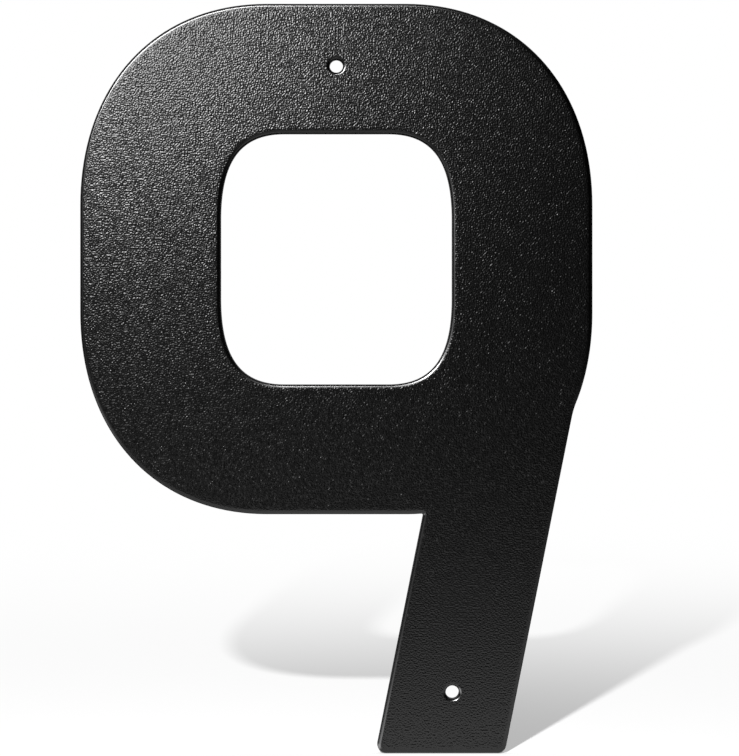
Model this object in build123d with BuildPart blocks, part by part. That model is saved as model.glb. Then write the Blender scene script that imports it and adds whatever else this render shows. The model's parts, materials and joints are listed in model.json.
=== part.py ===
"""House number nine: one flat metal numeral, fixed to a wall by two screws through its face."""

import os
from math import cos, radians, tan

from build123d import *

# Bowl: the closed upper form of the numeral. Each outer corner is one eased curve, flatter at
# both its ends than an arc would be.
number_height = 203.2
bowl_width = 138.9
bowl_height = 138.4
corner_run = 50.6
corner_rise = 54.7
corner_fullness = 0.60

# Counter: the opening inside the bowl, with tighter eased corners
side_stroke = 38.1
bar_stroke = 35.2
counter_corner_run = 17.2
counter_corner_rise = 23.3
counter_corner_fullness = 0.69

# Leg: leans in towards its foot, with parallel edges. Its outer edge stands inside the bowl's
# side by leg_inset, where it passes the level of the bowl's underside.
leg_lean = 11.3
leg_width = 34.4
leg_inset = 10.85
foot_corner_radius = 2.4
notch_radius = 0.4
kink_radius = 25.0

# Plate
thickness = 3.0
edge_radius = 1.0
back_chamfer = 0.25

# Screw holes
hole_diameter = 3.6
hole_rim_radius = 0.85
upper_hole_drop = 16.9
lower_hole_rise = 16.6

# Places worked out from the sizes, from the bowl's centre line and the foot
leg_drop = number_height - bowl_height
bowl_middle = leg_drop + bowl_height / 2
leg_slope = tan(radians(leg_lean))
foot_width = leg_width / cos(radians(leg_lean))
foot_right = bowl_width / 2 - leg_inset - leg_slope * leg_drop
foot_left = foot_right - foot_width
leg_top = leg_drop + bar_stroke
leg_shift = leg_slope * leg_top
across_leg = Axis((0, 0, 0), (1, 0, -leg_slope))
upper_hole = (0, number_height - upper_hole_drop)
lower_hole = ((foot_left + foot_right) / 2 + leg_slope * lower_hole_rise, lower_hole_rise)

# The wall's face, seen from the front, with the part's origin midway between the two screws
screws_middle = ((upper_hole[0] + lower_hole[0]) / 2, (upper_hole[1] + lower_hole[1]) / 2)
wall_face = Plane(
    origin=(-screws_middle[0], 0, -screws_middle[1]), x_dir=(1, 0, 0), z_dir=(0, -1, 0)
)


def eased_block(width, height, run, rise, fullness):
    """A block whose corners are single curves: run along the level edges, rise along the sides."""
    side, top = width / 2, height / 2
    with BuildSketch() as block:
        with BuildLine():
            for across, up in ((1, 1), (-1, 1), (-1, -1), (1, -1)):
                Bezier(
                    (across * (side - run), up * top),
                    (across * (side - run * (1 - fullness)), up * top),
                    (across * side, up * (top - rise * (1 - fullness))),
                    (across * side, up * (top - rise)),
                )
            for end in (1, -1):
                Line((end * side, top - rise), (end * side, rise - top))
                Line((side - run, end * top), (run - side, end * top))
        make_face()
    return block.sketch


def leg_top_corner(side):
    """The corner where a side of the leg meets the bowl: 0 is the notch, 1 the outer kink."""
    leg_side = number_plate.faces().filter_by(across_leg).sort_by(Axis.X)[side]
    return leg_side.edges().filter_by(Axis.Y).sort_by(Axis.Z)[-1]


with BuildPart() as number_plate:
    # Outline: the bowl, with the leg running up into it as far as the counter's floor
    with BuildSketch(wall_face):
        with Locations((0, bowl_middle)):
            add(eased_block(bowl_width, bowl_height, corner_run, corner_rise, corner_fullness))
        with BuildLine():
            Polyline(
                (foot_left, 0),
                (foot_right, 0),
                (foot_right + leg_shift, leg_top),
                (foot_left + leg_shift, leg_top),
                close=True,
            )
        make_face()
    extrude(amount=thickness)

    # Corners in the outline: the leg's two upper ones, then its foot
    fillet(leg_top_corner(0), notch_radius)
    fillet(leg_top_corner(1), kink_radius)
    fillet(number_plate.edges().filter_by(Axis.Y).group_by(Axis.Z)[0], foot_corner_radius)

    # Counter and screw holes, right through the plate
    with BuildSketch(wall_face):
        with Locations((0, bowl_middle)):
            add(
                eased_block(
                    bowl_width - 2 * side_stroke,
                    bowl_height - 2 * bar_stroke,
                    counter_corner_run,
                    counter_corner_rise,
                    counter_corner_fullness,
                )
            )
        with Locations(upper_hole, lower_hole):
            Circle(hole_diameter / 2)
    extrude(amount=thickness, mode=Mode.SUBTRACT)

    # Rolled front edges, rounded hole rims and a small chamfer along the wall side. A screw hole's
    # rim is one edge that closes on itself, and no other edge does.
    front_face = number_plate.faces().sort_by(Axis.Y)[0]
    hole_rims = front_face.edges().filter_by(lambda edge: edge.is_closed)
    fillet(front_face.edges() - hole_rims, edge_radius)
    fillet(hole_rims, hole_rim_radius)
    back_face = number_plate.faces().sort_by(Axis.Y)[-1]
    hole_backs = back_face.edges().filter_by(lambda edge: edge.is_closed)
    chamfer(back_face.edges() - hole_backs, back_chamfer)

number_plate.part.label = "number_plate"
os.makedirs("parts", exist_ok=True)
export_step(number_plate.part, "parts/number_plate.step")
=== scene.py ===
"""Dresses the house number in its textured black powder coat and stands it in a white studio."""

import json
from math import pi, radians, tan

import bpy
from bpy.props import FloatProperty, FloatVectorProperty, IntProperty, PointerProperty
from mathutils import Matrix, Vector


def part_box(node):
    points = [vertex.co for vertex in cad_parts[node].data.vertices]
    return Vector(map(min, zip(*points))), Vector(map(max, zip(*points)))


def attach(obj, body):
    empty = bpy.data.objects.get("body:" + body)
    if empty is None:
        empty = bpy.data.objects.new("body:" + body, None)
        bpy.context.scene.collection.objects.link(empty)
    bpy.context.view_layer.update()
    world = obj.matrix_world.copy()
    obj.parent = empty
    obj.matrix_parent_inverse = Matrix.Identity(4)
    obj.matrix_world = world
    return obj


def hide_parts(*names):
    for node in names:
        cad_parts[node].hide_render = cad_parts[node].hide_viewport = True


bl_info = {
    "name": "House Number",
    "version": (1, 0, 0),
    "blender": (4, 5, 0),
    "location": "3D View > Sidebar > House Number",
    "description": "Coats a flat metal house number and sets up its studio",
    "category": "Object",
}

MM = 0.001

# The cubic's handle on a quarter circle, as a share of its radius
QUARTER_CIRCLE = 4 / 3 * tan(pi / 8)

# Distance within which points are welded into one
WELD_DISTANCE = 0.001 * MM

# Powder coat. The square of a normal's part out of the plate eases from an edge's to a flat's over
# FLAT_NORMALS. LAMP_SIDE, as parts to the right and up, points up to the left, towards the lamps, and an
# edge eases from dull to glossy as its normal's lean to that side goes over HIGHLIGHT_LEANS. That glossy
# film on the edges that face the lamps is a painted highlight.
FLAT_NORMALS = (0.94, 0.985)
LAMP_SIDE = (-0.6, 0.8)
HIGHLIGHT_LEANS = (-0.05, 0.15)
FILM_IOR = 2.6

# Floor. Its glow, a painted reflection that only mirrored rays see, drops over GLOW_EDGE, in metres
# behind the wall's face, where GLOW_SHADOW_BEHIND of it is taken away as a painted shadow of the number.
# It turns plain white over PLAIN_FRONT, in metres before that face, which paints out the shade in front
# of the foot. The plain part ends over PLAIN_REACH, in metres from the number's middle.
FLOOR_SIZE = 12.0
FLOOR_GREY = 0.88
FADE_POWER = 1.5
GLOW_LIMIT = 1.25
GLOW_SHADOW_BEHIND = 0.9
GLOW_EDGE = (-0.01, 0.01)
PLAIN_FRONT = (0.002, 0.004)
PLAIN_REACH = (0.11, 0.15)

# World. The dark room in front has ROOM_LIGHT. The backdrop eases in as a direction's part towards
# the back goes from 0 to BACKDROP_EASE, and a reflection shows it BACKDROP_LOSS weaker.
ROOM_LIGHT = 0.005
BACKDROP_EASE = 0.5
BACKDROP_LOSS = 0.88

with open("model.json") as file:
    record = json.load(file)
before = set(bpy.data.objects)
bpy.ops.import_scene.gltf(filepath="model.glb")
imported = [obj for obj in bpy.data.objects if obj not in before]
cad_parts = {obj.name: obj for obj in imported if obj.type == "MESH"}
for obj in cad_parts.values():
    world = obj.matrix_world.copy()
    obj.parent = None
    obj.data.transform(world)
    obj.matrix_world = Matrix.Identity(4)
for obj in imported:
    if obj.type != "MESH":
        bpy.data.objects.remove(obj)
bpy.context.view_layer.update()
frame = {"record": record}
plate_low, plate_high = (Vector(corner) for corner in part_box("number_plate"))
screw_mount = next(m for m in frame["record"]["mounts"] if m["name"] == "screw_holes")


# Property groups: the sizes and colours that a user would change


class OutlineSizes(bpy.types.PropertyGroup):
    """The outline of the numeral."""

    bowl_height: FloatProperty(
        name="Bowl Height",
        description="Height of the closed upper form",
        default=138.4 * MM,
        unit="LENGTH",
    )
    corner_run: FloatProperty(
        name="Corner Run",
        description="Length of a bowl corner along the level edge",
        default=50.6 * MM,
        unit="LENGTH",
    )
    corner_rise: FloatProperty(
        name="Corner Rise",
        description="Length of a bowl corner along the upright edge",
        default=54.7 * MM,
        unit="LENGTH",
    )
    corner_fullness: FloatProperty(
        name="Corner Fullness",
        description="Share of its run and rise over which a bowl corner stays near the edges",
        default=0.60,
        subtype="FACTOR",
    )
    side_stroke: FloatProperty(
        name="Side Stroke",
        description="Width of the metal beside the counter",
        default=38.1 * MM,
        unit="LENGTH",
    )
    bar_stroke: FloatProperty(
        name="Bar Stroke",
        description="Height of the metal above and below the counter",
        default=35.2 * MM,
        unit="LENGTH",
    )
    counter_corner_run: FloatProperty(
        name="Counter Corner Run",
        description="Length of a counter corner along the level edge",
        default=17.2 * MM,
        unit="LENGTH",
    )
    counter_corner_rise: FloatProperty(
        name="Counter Corner Rise",
        description="Length of a counter corner along the upright edge",
        default=23.3 * MM,
        unit="LENGTH",
    )
    counter_corner_fullness: FloatProperty(
        name="Counter Corner Fullness",
        description="Share of its run and rise over which a counter corner stays near the edges",
        default=0.69,
        subtype="FACTOR",
    )
    leg_lean: FloatProperty(
        name="Leg Lean",
        description="Angle between the leg and the upright",
        default=radians(11.3),
        subtype="ANGLE",
    )
    leg_width: FloatProperty(
        name="Leg Width",
        description="Width of the leg, square to its edges",
        default=34.4 * MM,
        unit="LENGTH",
    )
    leg_inset: FloatProperty(
        name="Leg Inset",
        description="How far the leg's outer edge stands in from the bowl's side, at its underside",
        default=10.85 * MM,
        unit="LENGTH",
    )
    foot_corner_radius: FloatProperty(
        name="Foot Corner Radius",
        description="Radius of the two corners of the foot",
        default=2.4 * MM,
        unit="LENGTH",
    )
    notch_radius: FloatProperty(
        name="Notch Radius",
        description="Radius of the inner corner between the leg and the bowl",
        default=0.4 * MM,
        unit="LENGTH",
    )
    kink_radius: FloatProperty(
        name="Kink Radius",
        description="Radius of the outer bend where the leg leaves the bowl",
        default=25.0 * MM,
        unit="LENGTH",
    )
    upper_hole_drop: FloatProperty(
        name="Upper Hole Drop",
        description="Distance of the upper screw hole below the top edge",
        default=16.9 * MM,
        unit="LENGTH",
    )


class EdgeSizes(bpy.types.PropertyGroup):
    """The section of the plate's edges."""

    roll_width: FloatProperty(
        name="Roll Width",
        description="How far the roll and its gentle crown reach in from the outer side",
        default=2.15 * MM,
        unit="LENGTH",
    )
    counter_roll_width: FloatProperty(
        name="Counter Roll Width",
        description="How far the roll and its crown reach in round the counter",
        default=1.7 * MM,
        unit="LENGTH",
    )
    roll_depth: FloatProperty(
        name="Roll Depth",
        description="How far the rolled edge reaches back from the face",
        default=1.2 * MM,
        unit="LENGTH",
    )
    roll_side_fullness: FloatProperty(
        name="Roll Side Fullness",
        description="Share of its depth over which the roll stays near the side",
        default=0.92,
        subtype="FACTOR",
    )
    roll_face_fullness: FloatProperty(
        name="Roll Face Fullness",
        description="Share of its width over which the roll stays near the face",
        default=0.66,
        subtype="FACTOR",
    )
    rim_roll: FloatProperty(
        name="Rim Roll",
        description="Radius of the rounded rim of a screw hole",
        default=0.85 * MM,
        unit="LENGTH",
    )
    back_chamfer: FloatProperty(
        name="Back Chamfer",
        description="Chamfer along the edge that lies on the wall",
        default=0.25 * MM,
        unit="LENGTH",
    )
    border: FloatProperty(
        name="Border",
        description="Width of the flat strip between a rolled edge and the face's filling",
        default=0.2 * MM,
        unit="LENGTH",
    )
    curve_steps: IntProperty(
        name="Curve Steps",
        description="Steps along each curve of the outline",
        default=40,
    )
    roll_steps: IntProperty(
        name="Roll Steps",
        description="Steps round the rolled edge",
        default=14,
    )
    rim_steps: IntProperty(
        name="Rim Steps",
        description="Steps round a screw hole",
        default=64,
    )


class CoatFinish(bpy.types.PropertyGroup):
    """The fine textured powder coat."""

    colour: FloatVectorProperty(
        name="Colour",
        description="Colour of the powder coat",
        default=(0.02, 0.02, 0.02),
        subtype="COLOR",
    )
    roughness: FloatProperty(
        name="Roughness",
        description="Roughness of the coat",
        default=0.27,
        subtype="FACTOR",
    )
    # Painted highlight: the glossy film goes only on the edges that face the lamps at the upper left
    edge_highlight_film: FloatProperty(
        name="Edge Gloss",
        description="Strength of the glossy film on the edges",
        default=1.0,
        subtype="FACTOR",
    )
    edge_roughness: FloatProperty(
        name="Edge Roughness",
        description="Roughness of the glossy film on the edges",
        default=0.23,
        subtype="FACTOR",
    )
    grain_size: FloatProperty(
        name="Grain Size",
        description="Distance from one grain to the next",
        default=0.43 * MM,
        unit="LENGTH",
    )
    grain_depth: FloatProperty(
        name="Grain Depth",
        description="Height of the grains",
        default=0.113 * MM,
        unit="LENGTH",
    )


class StudioSetup(bpy.types.PropertyGroup):
    """Camera, lamps and floor."""

    camera_distance: FloatProperty(
        name="Camera Distance",
        description="Distance of the camera from the number's outline",
        default=560 * MM,
        unit="LENGTH",
    )
    picture_height: FloatProperty(
        name="Picture Height",
        description="Height of what the camera frames at the number's outline",
        default=204.97 * MM,
        unit="LENGTH",
    )
    camera_aim: FloatVectorProperty(
        name="Camera Aim",
        description="Point level with the number's outline in the middle of the picture",
        default=(-6.72 * MM, plate_low.y + 0.95 * MM, 0.289 * MM),
        subtype="XYZ",
    )
    key_place: FloatVectorProperty(
        name="Key Lamp Place",
        description="Place of the small lamp that lights the number",
        default=(-157 * MM, -390 * MM, 213 * MM),
        subtype="XYZ",
    )
    shadow_lamp_place: FloatVectorProperty(
        name="Shadow Lamp Place",
        description="Place of the small lamp that lights the floor and throws the shadow on it",
        default=(-136 * MM, -636 * MM, 254 * MM),
        subtype="XYZ",
    )
    key_size: FloatProperty(
        name="Key Lamp Size",
        description="Diameter of the small lamp on the number",
        default=40 * MM,
        unit="LENGTH",
    )
    shadow_lamp_size: FloatProperty(
        name="Shadow Lamp Size",
        description="Diameter of the small lamp on the floor",
        default=25 * MM,
        unit="LENGTH",
    )
    key_power: FloatProperty(
        name="Key Lamp Power",
        description="Power of the small lamp on the number, in watts",
        default=1.24,
    )
    shadow_lamp_power: FloatProperty(
        name="Shadow Lamp Power",
        description="Power of the small lamp on the floor, in watts, as felt one metre away",
        default=17.3,
    )
    edge_lamp_place: FloatVectorProperty(
        name="Edge Lamp Place",
        description="Place of the high softbox that draws the bright line along the edges",
        default=(-290 * MM, -612 * MM, 488 * MM),
        subtype="XYZ",
    )
    edge_lamp_length: FloatProperty(
        name="Edge Lamp Length",
        description="Length of the high softbox, round the camera's line of sight",
        default=640 * MM,
        unit="LENGTH",
    )
    edge_lamp_width: FloatProperty(
        name="Edge Lamp Width",
        description="Width of the high softbox",
        default=107 * MM,
        unit="LENGTH",
    )
    edge_lamp_power: FloatProperty(
        name="Edge Lamp Power",
        description="Power of the high softbox, in watts",
        default=2.9,
    )
    # Painted reflection: the floor glows with this only to mirrored rays, standing in for lit floor
    # beside the number
    floor_glow: FloatProperty(
        name="Floor Glow",
        description="Brightness of the lit floor beside the number, as its coat reflects it",
        default=2.05,
    )
    floor_glow_reach: FloatProperty(
        name="Floor Glow Reach",
        description="Distance in which that brightness falls to about a third",
        default=190 * MM,
        unit="LENGTH",
    )
    floor_fade: FloatProperty(
        name="Floor Fade",
        description="Distance from the number's middle over which its shadow fades to plain white",
        default=245 * MM,
        unit="LENGTH",
    )


# Nodes: expressions and one way to add any node


class Graph:
    """Adds nodes to a tree. Its values can be used in Python expressions."""

    def __init__(self, tree):
        self.tree = tree

    def add(self, kind, settings=None, inputs=None):
        """A node of that type, with its settings made first and then its sockets filled."""
        node = self.tree.nodes.new(kind)
        for name, setting in (settings or {}).items():
            setattr(node, name, setting)
        for key, value in (inputs or {}).items():
            self.fill(node.inputs[key], value)
        return node

    def fill(self, socket, value):
        """Links a value or a node's socket, or several of them, or writes a plain number."""
        for one in value if isinstance(value, list) else [value]:
            if isinstance(one, Value):
                self.tree.links.new(one.socket, socket)
            elif isinstance(one, bpy.types.NodeSocket):
                self.tree.links.new(one, socket)
            else:
                socket.default_value = one

    def value(self, kind, settings=None, inputs=None, output=0):
        """One output of a new node, as a value."""
        return Value(self, self.add(kind, settings, inputs).outputs[output])


class Value:
    """A socket that arithmetic works on: each operation adds a Math node."""

    def __init__(self, graph, socket):
        self.graph = graph
        self.socket = socket

    def maths(self, operation, *operands):
        """A Math node on these operands."""
        inputs = dict(enumerate(operands))
        return self.graph.value("ShaderNodeMath", {"operation": operation}, inputs)

    def __add__(self, other):
        return self.maths("ADD", self, other)

    def __radd__(self, other):
        return self.maths("ADD", other, self)

    def __sub__(self, other):
        return self.maths("SUBTRACT", self, other)

    def __rsub__(self, other):
        return self.maths("SUBTRACT", other, self)

    def __mul__(self, other):
        return self.maths("MULTIPLY", self, other)

    def __rmul__(self, other):
        return self.maths("MULTIPLY", other, self)

    def __truediv__(self, other):
        return self.maths("DIVIDE", self, other)

    def __pow__(self, other):
        return self.maths("POWER", self, other)

    def __neg__(self):
        return self.maths("MULTIPLY", self, -1.0)

    def __gt__(self, other):
        return self.maths("GREATER_THAN", self, other)

    def __lt__(self, other):
        return self.maths("LESS_THAN", self, other)

    def at_most(self, limit):
        """This value, or the limit where that is smaller."""
        return self.maths("MINIMUM", self, limit)

    def exp(self):
        """e to the power of this value."""
        return self.maths("EXPONENT", self)

    def between(self, low, high):
        """This value eased from 0 at low to 1 at high, and held outside them."""
        return self.graph.value(
            "ShaderNodeMapRange",
            {"interpolation_type": "SMOOTHSTEP"},
            {"Value": self, "From Min": low, "From Max": high},
        )


def new_tree(kind, name, inputs, outputs):
    """A node tree of that type with named sockets, and its graph and group nodes."""
    tree = bpy.data.node_groups.new(name, kind)
    for label, socket_type in inputs:
        tree.interface.new_socket(label, in_out="INPUT", socket_type=socket_type)
    for label, socket_type in outputs:
        tree.interface.new_socket(label, in_out="OUTPUT", socket_type=socket_type)
    graph = Graph(tree)
    return graph, graph.add("NodeGroupInput"), graph.add("NodeGroupOutput")


# Outline: closed loops of cubic curves


def straight(start, end):
    """A straight run, as a cubic."""
    return [start, start.lerp(end, 1 / 3), start.lerp(end, 2 / 3), end]


def split(cubic, share):
    """The two parts of a cubic, before and after that share of its way."""
    a, b, c, d = cubic
    ab, bc, cd = a.lerp(b, share), b.lerp(c, share), c.lerp(d, share)
    abc, bcd = ab.lerp(bc, share), bc.lerp(cd, share)
    middle = abc.lerp(bcd, share)
    return [a, ab, abc, middle], [middle, bcd, cd, d]


def first_share(cubic, passed, steps=64, halvings=30):
    """The share of its way at which a cubic's point first passes the test: found in even steps,
    then by halving the step before it."""
    high = next(i for i in range(1, steps + 1) if passed(split(cubic, i / steps)[0][3])) / steps
    low = high - 1 / steps
    for _ in range(halvings):
        middle = (low + high) / 2
        if passed(split(cubic, middle)[0][3]):
            high = middle
        else:
            low = middle
    return high


def eased_corners(centre, half_size, run, rise, fullness):
    """The four corners of a block, anticlockwise from the lower right one. Each is one cubic,
    which takes its run along the level edge and its rise along the side."""
    corners = []
    for across, up in ((1, -1), (1, 1), (-1, 1), (-1, -1)):
        tip = centre + Vector((across * half_size.x, up * half_size.y))
        level, upright = Vector((-across * run, 0)), Vector((0, -up * rise))
        cubic = [tip + level, tip + level * (1 - fullness), tip + upright * (1 - fullness), tip + upright]
        corners.append(cubic if across * up < 0 else cubic[::-1])
    return corners


def joined(cubics):
    """The cubics and the straight runs between them, as one closed loop."""
    loop = []
    for cubic, following in zip(cubics, cubics[1:] + cubics[:1]):
        loop += [cubic, straight(cubic[3], following[0])]
    return loop


def turned_round(loop):
    """The same loop, gone round the other way."""
    return [cubic[::-1] for cubic in reversed(loop)]


def trimmed(cubic, length):
    """A cubic without that length at its start."""
    return split(cubic, first_share(cubic, lambda point: (point - cubic[0]).length > length))[1]


def rounded(loop, radii):
    """The loop with the corner at the end of each cubic rounded to its radius, if that isn't 0."""
    loop = list(loop)
    arcs = [[] for _ in loop]
    for i, radius in enumerate(radii):
        if not radius:
            continue
        j = (i + 1) % len(loop)
        corner = loop[j][0]
        arriving, leaving = (corner - loop[i][2]).normalized(), (loop[j][1] - corner).normalized()
        turn = arriving.angle(leaving)
        loop[i] = trimmed(loop[i][::-1], radius * tan(turn / 2))[::-1]
        loop[j] = trimmed(loop[j], radius * tan(turn / 2))
        start, end, handle = loop[i][3], loop[j][0], radius * 4 / 3 * tan(turn / 4)
        arcs[i] = [[start, start + arriving * handle, end - leaving * handle, end]]
    return [piece for cubic, arc in zip(loop, arcs) for piece in [cubic] + arc]


def number_loops(sizes):
    """The numeral's outer loop, anticlockwise, and its counter's, clockwise."""
    bowl_half = Vector((plate_high.x - plate_low.x, sizes.bowl_height)) / 2
    bowl_centre = Vector((plate_high.x - bowl_half.x, plate_high.z - bowl_half.y))
    lower_right, upper_right, upper_left, lower_left = eased_corners(
        bowl_centre, bowl_half, sizes.corner_run, sizes.corner_rise, sizes.corner_fullness
    )

    # The leg's two edges rise from the foot to where each first meets the lower right corner
    rising = Vector((tan(sizes.leg_lean), 1))
    underside = bowl_centre.y - bowl_half.y
    foot_right = Vector((plate_high.x - sizes.leg_inset, underside))
    foot_right -= rising * (underside - plate_low.z)
    foot_left = foot_right - Vector((sizes.leg_width * rising.length, 0))
    notch, kink = (
        first_share(lower_right, lambda point: (point - foot).cross(rising) > 0)
        for foot in (foot_left, foot_right)
    )
    underside_end = split(lower_right, notch)[0]
    side_start = split(lower_right, kink)[1]
    outer = joined([side_start, upper_right, upper_left, lower_left, underside_end])[:-1]
    outer += [
        straight(underside_end[3], foot_left),
        straight(foot_left, foot_right),
        straight(foot_right, side_start[0]),
    ]
    corner_radii = [
        sizes.notch_radius,
        sizes.foot_corner_radius,
        sizes.foot_corner_radius,
        sizes.kink_radius,
    ]
    smooth_joints = [0] * (len(outer) - len(corner_radii))

    counter_half = bowl_half - Vector((sizes.side_stroke, sizes.bar_stroke))
    counter = joined(
        eased_corners(
            bowl_centre,
            counter_half,
            sizes.counter_corner_run,
            sizes.counter_corner_rise,
            sizes.counter_corner_fullness,
        )
    )
    return rounded(outer, smooth_joints + corner_radii), turned_round(counter)


def loops_object(name, loops, steps):
    """A curve object with one closed Bezier spline for each loop."""
    curve = bpy.data.curves.new(name, "CURVE")
    curve.dimensions = "3D"
    for loop in loops:
        spline = curve.splines.new("BEZIER")
        spline.bezier_points.add(len(loop) - 1)
        for point, cubic, previous in zip(spline.bezier_points, loop, loop[-1:] + loop[:-1]):
            point.handle_left_type = point.handle_right_type = "FREE"
            point.co = cubic[0].to_3d()
            point.handle_left = previous[2].to_3d()
            point.handle_right = cubic[1].to_3d()
        spline.use_cyclic_u = True
        spline.resolution_u = steps
    curves = bpy.data.objects.new(name, curve)
    bpy.context.scene.collection.objects.link(curves)
    return curves


# Plate: the outline swept with the section of its edge, and filled


def edge_section(graph, given, width, depth, side_fullness, face_fullness):
    """The section of an edge, from the face over the roll and down the side to the back. In it,
    x is how far outside the outline a point lies, and y how far below the back."""

    def point(x, y):
        """A point of the section."""
        return graph.value("ShaderNodeCombineXYZ", inputs={"X": x, "Y": y})

    front, border, chamfer = -given["Thickness"], given["Border"], given["Back Chamfer"]
    roll = graph.value(
        "GeometryNodeCurvePrimitiveBezierSegment",
        {"mode": "POSITION"},
        {
            "Resolution": given["Roll Steps"],
            "Start": point(-width, front),
            "Start Handle": point(width * (face_fullness - 1.0), front),
            "End Handle": point(0.0, front + depth * (1.0 - side_fullness)),
            "End": point(0.0, front + depth),
        },
    )
    runs = [
        (point(-width - border, front), point(-width, front)),
        (point(0.0, front + depth), point(0.0, -chamfer)),
        (point(0.0, -chamfer), point(-chamfer, 0.0)),
        (point(-chamfer, 0.0), point(-chamfer - border, 0.0)),
    ]
    lines = [
        graph.value("GeometryNodeCurvePrimitiveLine", inputs={"Start": start, "End": end})
        for start, end in runs
    ]
    return graph.value("GeometryNodeJoinGeometry", inputs={"Geometry": [roll] + lines})


def plate_tree():
    """Geometry Nodes that turn an outline into a plate with rolled edges and two screw holes."""
    lengths = [
        "Thickness",
        "Roll Width",
        "Counter Roll Width",
        "Roll Depth",
        "Roll Side Fullness",
        "Roll Face Fullness",
        "Rim Roll",
        "Back Chamfer",
        "Border",
        "Hole Radius",
        "Weld Distance",
    ]
    graph, group_in, group_out = new_tree(
        "GeometryNodeTree",
        "Rolled plate",
        [("Outline", "NodeSocketGeometry")]
        + [(label, "NodeSocketFloat") for label in lengths]
        + [("Roll Steps", "NodeSocketInt"), ("Rim Steps", "NodeSocketInt")]
        + [("Upper Screw", "NodeSocketVector"), ("Lower Screw", "NodeSocketVector")]
        + [("Coat", "NodeSocketMaterial")],
        [("Plate", "NodeSocketGeometry")],
    )
    given = {socket.name: Value(graph, socket) for socket in group_in.outputs if socket.name}

    def swept(path, section):
        """The path with its normals in the plate's plane, swept with a section."""
        level = graph.value("GeometryNodeSetCurveNormal", {"mode": "Z_UP"}, {"Curve": path})
        return graph.value(
            "GeometryNodeCurveToMesh", inputs={"Curve": level, "Profile Curve": section}
        )

    # Outer edge and counter: the outline's first curve is the outer one
    is_outer = graph.value("GeometryNodeInputIndex") < 0.5
    loops = graph.add(
        "GeometryNodeSeparateGeometry",
        {"domain": "CURVE"},
        {"Geometry": given["Outline"], "Selection": is_outer},
    )
    edges = [
        swept(
            loop,
            edge_section(
                graph,
                given,
                given[width],
                given["Roll Depth"],
                given["Roll Side Fullness"],
                given["Roll Face Fullness"],
            ),
        )
        for loop, width in zip(loops.outputs, ("Roll Width", "Counter Roll Width"))
    ]

    # Screw holes: two circles, gone round clockwise, whose rims are rolled to a plain arc
    circle = graph.value(
        "GeometryNodeCurvePrimitiveCircle",
        {"mode": "RADIUS"},
        {"Resolution": given["Rim Steps"], "Radius": given["Hole Radius"]},
    )
    clockwise = graph.value("GeometryNodeReverseCurve", inputs={"Curve": circle})
    circles = [
        graph.value(
            "GeometryNodeTransform",
            inputs={"Geometry": clockwise, "Translation": given[screw]},
        )
        for screw in ("Upper Screw", "Lower Screw")
    ]
    circle_pair = graph.value("GeometryNodeJoinGeometry", inputs={"Geometry": circles})
    rim = edge_section(
        graph, given, given["Rim Roll"], given["Rim Roll"], QUARTER_CIRCLE, QUARTER_CIRCLE
    )
    rims = swept(circle_pair, rim)

    # The front and the back are filled between the sweeps' open borders, whose mesh edges have
    # only one face each
    ribbons = graph.value("GeometryNodeJoinGeometry", inputs={"Geometry": edges + [rims]})
    ribbons = graph.value(
        "GeometryNodeMergeByDistance",
        inputs={"Geometry": ribbons, "Distance": given["Weld Distance"]},
    )
    open_border = graph.value("GeometryNodeInputMeshEdgeNeighbors") < 1.5
    position = graph.value("GeometryNodeInputPosition")
    height = graph.value("ShaderNodeSeparateXYZ", inputs={"Vector": position}, output="Z")
    in_front = height > given["Thickness"] * 0.5

    def filled(selection, place):
        """A flat filling between the chosen borders, at its place above the back."""
        border = graph.value(
            "GeometryNodeMeshToCurve", inputs={"Mesh": ribbons, "Selection": selection}
        )
        flat = graph.value("GeometryNodeFillCurve", {"mode": "TRIANGLES"}, {"Curve": border})
        return graph.value(
            "GeometryNodeTransform", inputs={"Geometry": flat, "Translation": place}
        )

    face_place = graph.value("ShaderNodeCombineXYZ", inputs={"Z": given["Thickness"]})
    face = filled(open_border * in_front, face_place)
    back = graph.value(
        "GeometryNodeFlipFaces", inputs={"Mesh": filled(open_border * (1.0 - in_front), (0, 0, 0))}
    )
    plate = graph.value("GeometryNodeJoinGeometry", inputs={"Geometry": [ribbons, face, back]})
    plate = graph.value(
        "GeometryNodeMergeByDistance",
        inputs={"Geometry": plate, "Distance": given["Weld Distance"]},
    )
    plate = graph.value("GeometryNodeSetShadeSmooth", inputs={"Geometry": plate})
    upright = graph.value(
        "GeometryNodeTransform", inputs={"Geometry": plate, "Rotation": (radians(90), 0, 0)}
    )
    real = graph.value("GeometryNodeRealizeInstances", inputs={"Geometry": upright})
    coated = graph.value(
        "GeometryNodeSetMaterial", inputs={"Geometry": real, "Material": given["Coat"]}
    )
    graph.fill(group_out.inputs["Plate"], coated)
    return graph.tree


def shaped_by(curves, tree, name, values):
    """A plain mesh object of what the tree makes of the curves, which are then removed."""
    modifier = curves.modifiers.new(tree.name, "NODES")
    modifier.node_group = tree
    for socket in tree.interface.items_tree:
        if socket.in_out == "INPUT" and socket.name in values:
            modifier[socket.identifier] = values[socket.name]
    curves.update_tag()
    evaluated = curves.evaluated_get(bpy.context.evaluated_depsgraph_get())
    mesh = bpy.data.meshes.new_from_object(evaluated)
    mesh.name = name
    outline = curves.data
    bpy.data.objects.remove(curves)
    bpy.data.curves.remove(outline)
    piece = bpy.data.objects.new(name, mesh)
    bpy.context.scene.collection.objects.link(piece)
    return piece


# Materials


def new_material(name):
    """A material whose tree is empty but for its output, with its graph."""
    material = bpy.data.materials.new(name)
    material.use_nodes = True
    material.node_tree.nodes.clear()
    graph = Graph(material.node_tree)
    return material, graph, graph.add("ShaderNodeOutputMaterial")


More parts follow.
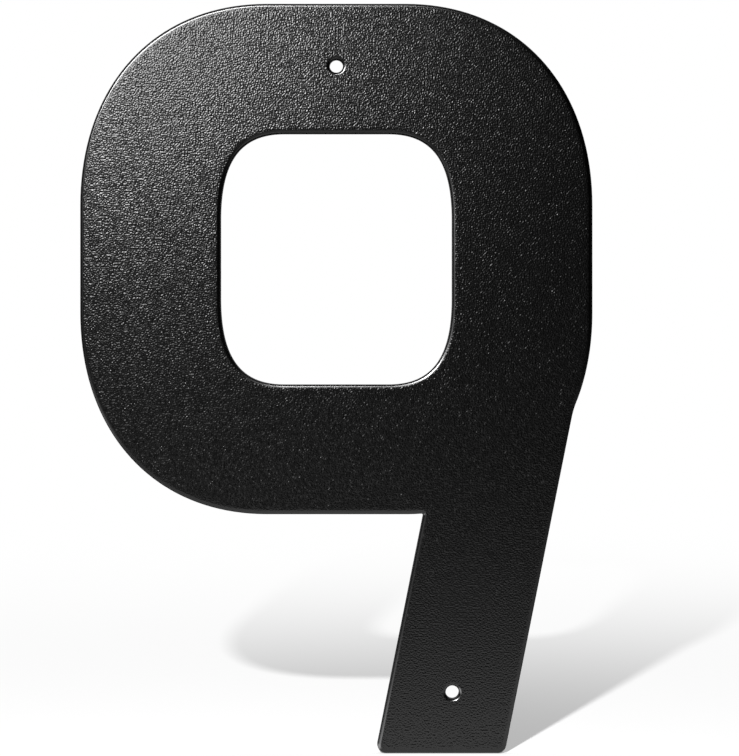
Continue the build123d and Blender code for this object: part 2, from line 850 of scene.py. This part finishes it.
def powder_coat(finish):
    """Black powder coat, with fine grains on its flats. Its edges are smooth, because the powder runs
    thin there, and those that face up to the left, towards the lamps, get a glossy film: a painted
    highlight along them."""
    material, graph, output = new_material("powder_coat_black")
    place = graph.value("ShaderNodeTexCoord", output="Object")
    normal = graph.value("ShaderNodeTexCoord", output="Normal")
    split_normal = graph.add("ShaderNodeSeparateXYZ", inputs={"Vector": normal})
    right, front, up = (Value(graph, socket) for socket in split_normal.outputs)
    flat = (front**2.0).between(*FLAT_NORMALS)
    # Painted highlight: a glossy film only on the edges whose normals lean towards the lamps at the upper
    # left
    lean = LAMP_SIDE[1] * up + LAMP_SIDE[0] * right
    glossy = (1.0 - flat) * lean.between(*HIGHLIGHT_LEANS)
    grains = graph.value(
        "ShaderNodeTexNoise",
        inputs={"Vector": place, "Scale": 1 / finish.grain_size, "Detail": 0.0},
    )
    bump = graph.value(
        "ShaderNodeBump",
        inputs={"Strength": 1.0, "Distance": finish.grain_depth, "Height": grains * flat},
    )
    coat = graph.value(
        "ShaderNodeBsdfPrincipled",
        inputs={
            "Base Color": (*finish.colour, 1.0),
            "Roughness": finish.roughness,
            "Normal": bump,
            "Coat Weight": finish.edge_highlight_film * glossy,
            "Coat Roughness": finish.edge_roughness,
            "Coat IOR": FILM_IOR,
        },
    )
    graph.fill(output.inputs["Surface"], coat)
    return material


def floor_paint(setup):
    """White floor: it takes the number's shadow, which is lost in plain white further off and in front of
    the foot. It also glows, only to mirrored rays, as a painted reflection of lit floor round the number,
    and that glow is mostly cut behind the number as a painted shadow."""
    material, graph, output = new_material("floor_white")
    material.cycles.emission_sampling = "NONE"
    place = graph.value("ShaderNodeTexCoord", output="Object")
    distance = graph.value("ShaderNodeVectorMath", {"operation": "LENGTH"}, {0: place}, "Value")
    behind = graph.value("ShaderNodeSeparateXYZ", inputs={"Vector": place}, output="Y")
    # Painted light: plain white in front of the foot, over the shade that falls there
    plain = (-behind).between(*PLAIN_FRONT) * (1.0 - distance.between(*PLAIN_REACH))
    fade = 1.0 - (-((distance / setup.floor_fade) ** FADE_POWER)).exp() * (1.0 - plain)
    # Painted reflection: a glow that only mirrored rays see, brightest round the number and mostly cut
    # behind it as a painted shadow
    glow = setup.floor_glow * (-(distance / setup.floor_glow_reach)).exp()
    glow = glow.at_most(GLOW_LIMIT) * (1.0 - GLOW_SHADOW_BEHIND * behind.between(*GLOW_EDGE))
    path = graph.add("ShaderNodeLightPath")
    seen, mirrored = (Value(graph, path.outputs[f"Is {kind} Ray"]) for kind in ("Camera", "Glossy"))
    grey = (FLOOR_GREY, FLOOR_GREY, FLOOR_GREY, 1.0)
    paint = graph.value("ShaderNodeBsdfDiffuse", inputs={"Color": grey})
    white = graph.value("ShaderNodeEmission", inputs={"Strength": 1.0})
    lit = graph.value("ShaderNodeEmission", inputs={"Color": glow, "Strength": mirrored})
    shown = graph.value("ShaderNodeMixShader", inputs={0: fade, 1: paint, 2: white})
    mixed = graph.value("ShaderNodeMixShader", inputs={0: seen, 1: lit, 2: shown})
    graph.fill(output.inputs["Surface"], mixed)
    return material


# Studio


def add_lamp(name, place, length, width, power):
    """An oval area lamp that faces the number's middle. Its length runs round the line of sight."""
    lamp = bpy.data.lights.new(name, "AREA")
    lamp.shape = "ELLIPSE"
    lamp.size = length
    lamp.size_y = width
    lamp.energy = power
    holder = bpy.data.objects.new(name, lamp)
    away = Vector(place).normalized()
    round_sight = Vector((0, 1, 0)).cross(away).normalized()
    axes = Matrix((round_sight, away.cross(round_sight), away)).transposed()
    holder.matrix_world = Matrix.LocRotScale(place, axes.to_quaternion(), None)
    holder.visible_camera = False
    bpy.context.scene.collection.objects.link(holder)
    return holder


def keep_strength(lamp):
    """Stops a lamp's light from falling off with distance."""
    lamp.use_nodes = True
    graph = Graph(lamp.node_tree)
    steady = graph.value("ShaderNodeLightFalloff", inputs={"Strength": 1.0}, output="Constant")
    emission = next(n for n in lamp.node_tree.nodes if n.type == "EMISSION")
    graph.fill(emission.inputs["Strength"], steady)


def studio_world():
    """White to the camera, a pale backdrop to the floor, and a dim one to what mirrors it. The
    room in front of the number is dark."""
    world = bpy.data.worlds.new("studio")
    world.use_nodes = True
    world.cycles.sampling_method = "NONE"
    world.node_tree.nodes.clear()
    graph = Graph(world.node_tree)
    direction = graph.value("ShaderNodeTexCoord", output="Generated")
    depth = graph.value("ShaderNodeSeparateXYZ", inputs={"Vector": direction}, output="Y")
    path = graph.add("ShaderNodeLightPath")
    seen, mirrored = (Value(graph, path.outputs[f"Is {kind} Ray"]) for kind in ("Camera", "Glossy"))
    backdrop = 1.0 - BACKDROP_LOSS * mirrored
    room = ROOM_LIGHT + backdrop * depth.between(0.0, BACKDROP_EASE)
    strength = seen + (1.0 - seen) * room
    background = graph.value(
        "ShaderNodeBackground", inputs={"Color": (1.0, 1.0, 1.0, 1.0), "Strength": strength}
    )
    graph.fill(graph.add("ShaderNodeOutputWorld").inputs["Surface"], background)
    return world


def add_camera(setup):
    """A level camera that looks straight at the number's face."""
    camera = bpy.data.cameras.new("camera")
    camera.lens = camera.sensor_width * setup.camera_distance / setup.picture_height
    holder = bpy.data.objects.new("camera", camera)
    holder.location = Vector(setup.camera_aim) - Vector((0, setup.camera_distance, 0))
    holder.rotation_euler = (radians(90), 0, 0)
    bpy.context.scene.collection.objects.link(holder)
    bpy.context.scene.camera = holder


# Operators


class HOUSENUMBER_OT_make_number(bpy.types.Operator):
    """Make the coated house number"""

    bl_idname = "house_number.make_number"
    bl_label = "House Number"

    def execute(self, context):
        """Build the number from its outline and its edge's section."""
        scene = context.scene
        sizes, edges = scene.house_number_outline, scene.house_number_edges
        upper_screw = Vector(
            ((plate_low.x + plate_high.x) / 2, plate_high.z - sizes.upper_hole_drop, 0)
        )
        values = {
            "Thickness": plate_high.y - plate_low.y,
            "Roll Width": edges.roll_width,
            "Counter Roll Width": edges.counter_roll_width,
            "Roll Depth": edges.roll_depth,
            "Roll Side Fullness": edges.roll_side_fullness,
            "Roll Face Fullness": edges.roll_face_fullness,
            "Rim Roll": edges.rim_roll,
            "Back Chamfer": edges.back_chamfer,
            "Border": edges.border,
            "Hole Radius": screw_mount["dims"]["hole_r_mm"] * MM,
            "Weld Distance": WELD_DISTANCE,
            "Roll Steps": edges.roll_steps,
            "Rim Steps": edges.rim_steps,
            "Upper Screw": upper_screw,
            "Lower Screw": -upper_screw,
            "Coat": powder_coat(scene.house_number_coat),
        }
        curves = loops_object("outline", number_loops(sizes), edges.curve_steps)
        number = shaped_by(curves, plate_tree(), "coated_number", values)
        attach(number, "root")
        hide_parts("number_plate")
        return {"FINISHED"}


class HOUSENUMBER_OT_set_studio(bpy.types.Operator):
    """Set up the white floor, the lamps and the camera"""

    bl_idname = "house_number.set_studio"
    bl_label = "Studio"

    def execute(self, context):
        """Build the stage round the number."""
        scene = context.scene
        setup = scene.house_number_studio
        scene.view_settings.view_transform = "Standard"
        scene.world = studio_world()
        add_camera(setup)

        bpy.ops.mesh.primitive_plane_add(size=FLOOR_SIZE, location=(0, 0, 0))
        floor = context.object
        floor.name = "floor"
        for vertex in floor.data.vertices:
            vertex.co.z = plate_low.z
        floor.data.materials.append(floor_paint(setup))

        key = add_lamp(
            "key_lamp", setup.key_place, setup.key_size, setup.key_size, setup.key_power
        )
        edge = add_lamp(
            "edge_lamp",
            setup.edge_lamp_place,
            setup.edge_lamp_length,
            setup.edge_lamp_width,
            setup.edge_lamp_power,
        )
        key.visible_diffuse = edge.visible_diffuse = False
        shadow = add_lamp(
            "shadow_lamp",
            setup.shadow_lamp_place,
            setup.shadow_lamp_size,
            setup.shadow_lamp_size,
            setup.shadow_lamp_power,
        )
        keep_strength(shadow.data)
        number = bpy.data.objects["coated_number"]
        for name, lamps, lit in (("number", (key, edge), number), ("floor", (shadow,), floor)):
            receivers = bpy.data.collections.new(f"lit_{name}")
            receivers.objects.link(lit)
            for lamp in lamps:
                lamp.light_linking.receiver_collection = receivers
        return {"FINISHED"}


class HOUSENUMBER_PT_sidebar(bpy.types.Panel):
    """The sidebar's page for the house number"""

    bl_label = "House Number"
    bl_idname = "HOUSENUMBER_PT_sidebar"
    bl_space_type = "VIEW_3D"
    bl_region_type = "UI"
    bl_category = "House Number"

    def draw(self, context):
        """List each group's values, with the operator that uses them."""
        layout = self.layout
        for name, operator in GROUPS_AND_OPERATORS:
            group = getattr(context.scene, name)
            box = layout.box()
            for value in group.__annotations__:
                box.prop(group, value)
            if operator:
                box.operator(operator)


PROPERTY_GROUPS = {
    "house_number_outline": OutlineSizes,
    "house_number_edges": EdgeSizes,
    "house_number_coat": CoatFinish,
    "house_number_studio": StudioSetup,
}
GROUPS_AND_OPERATORS = [
    ("house_number_outline", None),
    ("house_number_edges", None),
    ("house_number_coat", "house_number.make_number"),
    ("house_number_studio", "house_number.set_studio"),
]
CLASSES = [
    *PROPERTY_GROUPS.values(),
    HOUSENUMBER_OT_make_number,
    HOUSENUMBER_OT_set_studio,
    HOUSENUMBER_PT_sidebar,
]


def register():
    """Register the classes and give the scene its groups of values."""
    for cls in CLASSES:
        bpy.utils.register_class(cls)
    for name, group in PROPERTY_GROUPS.items():
        setattr(bpy.types.Scene, name, PointerProperty(type=group))


def unregister():
    """Take the groups of values and the classes away again."""
    for name in PROPERTY_GROUPS:
        delattr(bpy.types.Scene, name)
    for cls in reversed(CLASSES):
        bpy.utils.unregister_class(cls)


def main():
    """Make the number and its studio."""
    register()
    bpy.ops.house_number.make_number()
    bpy.ops.house_number.set_studio()


if __name__ == "__main__":
    main()
